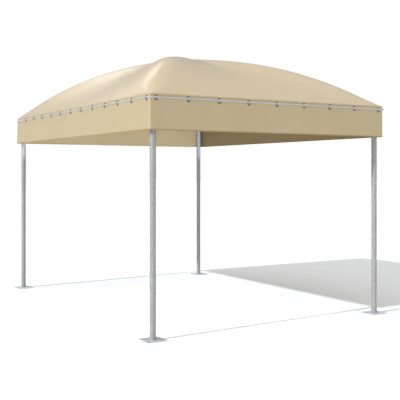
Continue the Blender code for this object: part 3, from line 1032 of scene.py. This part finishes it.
def add_world(settings):
    """A white backdrop, and a soft light that is strongest from above and glows behind the dome."""
    world = bpy.data.worlds.new("soft_sky")
    world.use_nodes = True
    tree = Tree(world.node_tree)
    x, y, z = tree.split(tree.node("ShaderNodeTexCoord")["Generated"])
    turn, height = settings.glow_turn, settings.glow_height
    sideways = (x * math.cos(turn) - y * math.sin(turn)) / settings.glow_width
    forward = x * math.sin(turn) + y * math.cos(turn)
    upwards = (z * math.cos(height) - forward * math.sin(height)) / settings.glow_depth
    glow = (-(sideways * sideways + upwards * upwards)).exponential() * forward.above(0.0) * settings.glow
    soft = z.at_least(0.0) ** 1.5 * settings.overhead + settings.surround + glow
    seen = tree.node("ShaderNodeLightPath")["Is Camera Ray"]
    warm = tree.mix_colour((z * (1 - seen)).clamp(), (1.0, 1.0, 1.0, 1.0), (1.07, 1.0, 0.95, 1.0))
    tree.fill(world.node_tree.nodes["Background"], {"Color": warm, "Strength": seen + (1 - seen) * soft})
    bpy.context.scene.world = world


def area_lamp(name, size, energy, place, colour=(1, 1, 1), degrees=180):
    """A rectangular lamp that the camera doesn't see."""
    light = adjust(bpy.data.lights.new(name, "AREA"), shape="RECTANGLE", size=size[0], size_y=size[1],
                   energy=energy, color=colour, spread=math.radians(degrees))
    return adjust(link(name, light), location=place, visible_camera=False)


def add_lights(settings, floor):
    """A sun, a low light in front, a beam under the roof and a soft light for the floor there."""
    # From the left, so that the roof's shadow falls to the right
    flat = math.cos(settings.sun_height)
    travel = Vector((flat * math.cos(settings.sun_turn), flat * math.sin(settings.sun_turn),
                     -math.sin(settings.sun_height)))
    sun = adjust(bpy.data.lights.new("key", "SUN"), energy=settings.sun, angle=math.radians(1.2),
                 color=(0.96, 0.98, 1.0))
    link("key", sun).rotation_euler = travel.to_track_quat("-Z", "Y").to_euler()

    # Broad and low in front of the short side, even over its whole depth
    fill = area_lamp("fill", (12.0, 1.6), settings.fill, (0.0, -14.0, 0.86))
    adjust(fill, rotation_euler=(math.radians(90), 0, 0), visible_glossy=False)
    fill.data.use_nodes = True
    tree = Tree(fill.data.node_tree)
    even = tree.node("ShaderNodeLightFalloff", {"Strength": 1.0})["Constant"]
    tree.fill(fill.data.node_tree.nodes["Emission"], {"Strength": even})

    # A parallel beam from near the ground, on the inner face of the back valance
    lift = area_lamp("lift", (3.3, 0.55), settings.lift, (0, -1.7, 0.32), (0.62, 0.745, 1.0), degrees=2)
    lift.data.use_shadow = False
    aim = Vector((0, HALF_Y, (VALANCE_BOTTOM + ROD_HEIGHT) / 2)) - lift.location
    lift.rotation_euler = aim.to_track_quat("-Z", "Y").to_euler()

    # From above, on the floor alone
    wash = area_lamp("wash", (2.6, 3.4), settings.wash, (-0.15, -0.4, 0.8), (1.0, 0.96, 0.92), degrees=90)
    lit = bpy.data.collections.new("lit_by_wash")
    lit.objects.link(floor)
    wash.light_linking.receiver_collection = lit


class GAZEBO_OT_stage(bpy.types.Operator):
    """Set the pale floor, the soft light and the camera"""

    bl_idname = "gazebo.stage"
    bl_label = "Stage"

    def execute(self, context):
        scene = context.scene
        settings = scene.gazebo_stage
        floor = add_floor()
        add_world(settings)
        add_lights(settings, floor)
        camera = adjust(bpy.data.cameras.new("camera"), sensor_width=36.0, lens=settings.focal,
                        shift_y=settings.shift, clip_end=500.0)
        scene.camera = adjust(link("camera", camera), location=settings.place,
                              rotation_euler=(math.radians(90), 0, -settings.turn))
        adjust(scene.view_settings, view_transform="Standard", look="None")
        return {"FINISHED"}


class GAZEBO_PT_panel(bpy.types.Panel):
    """Lists the gazebo's pieces in the sidebar"""

    bl_idname = "GAZEBO_PT_panel"
    bl_label = "Dome-roof gazebo"
    bl_space_type = "VIEW_3D"
    bl_region_type = "UI"
    bl_category = "Gazebo"

    def draw(self, context):
        for operator in OPERATORS:
            self.layout.operator(operator.bl_idname)


GROUPS = {"gazebo_canopy": CanopySizes, "gazebo_fixings": FixingSizes, "gazebo_finishes": Finishes,
          "gazebo_stage": StageSettings}
OPERATORS = (GAZEBO_OT_roof_skin, GAZEBO_OT_valance, GAZEBO_OT_eyelets, GAZEBO_OT_staples,
             GAZEBO_OT_lacing_rod, GAZEBO_OT_eave_beams, GAZEBO_OT_posts, GAZEBO_OT_plates,
             GAZEBO_OT_bolts, GAZEBO_OT_arches, GAZEBO_OT_stage)
CLASSES = (*GROUPS.values(), *OPERATORS, GAZEBO_PT_panel)


def register():
    for kind in CLASSES:
        bpy.utils.register_class(kind)
    for name, kind in GROUPS.items():
        setattr(bpy.types.Scene, name, PointerProperty(type=kind))


def unregister():
    for name in GROUPS:
        delattr(bpy.types.Scene, name)
    for kind in reversed(CLASSES):
        bpy.utils.unregister_class(kind)


def main():
    register()
    for operator in OPERATORS:
        group, name = operator.bl_idname.split(".")
        getattr(getattr(bpy.ops, group), name)()


if __name__ == "__main__":
    main()
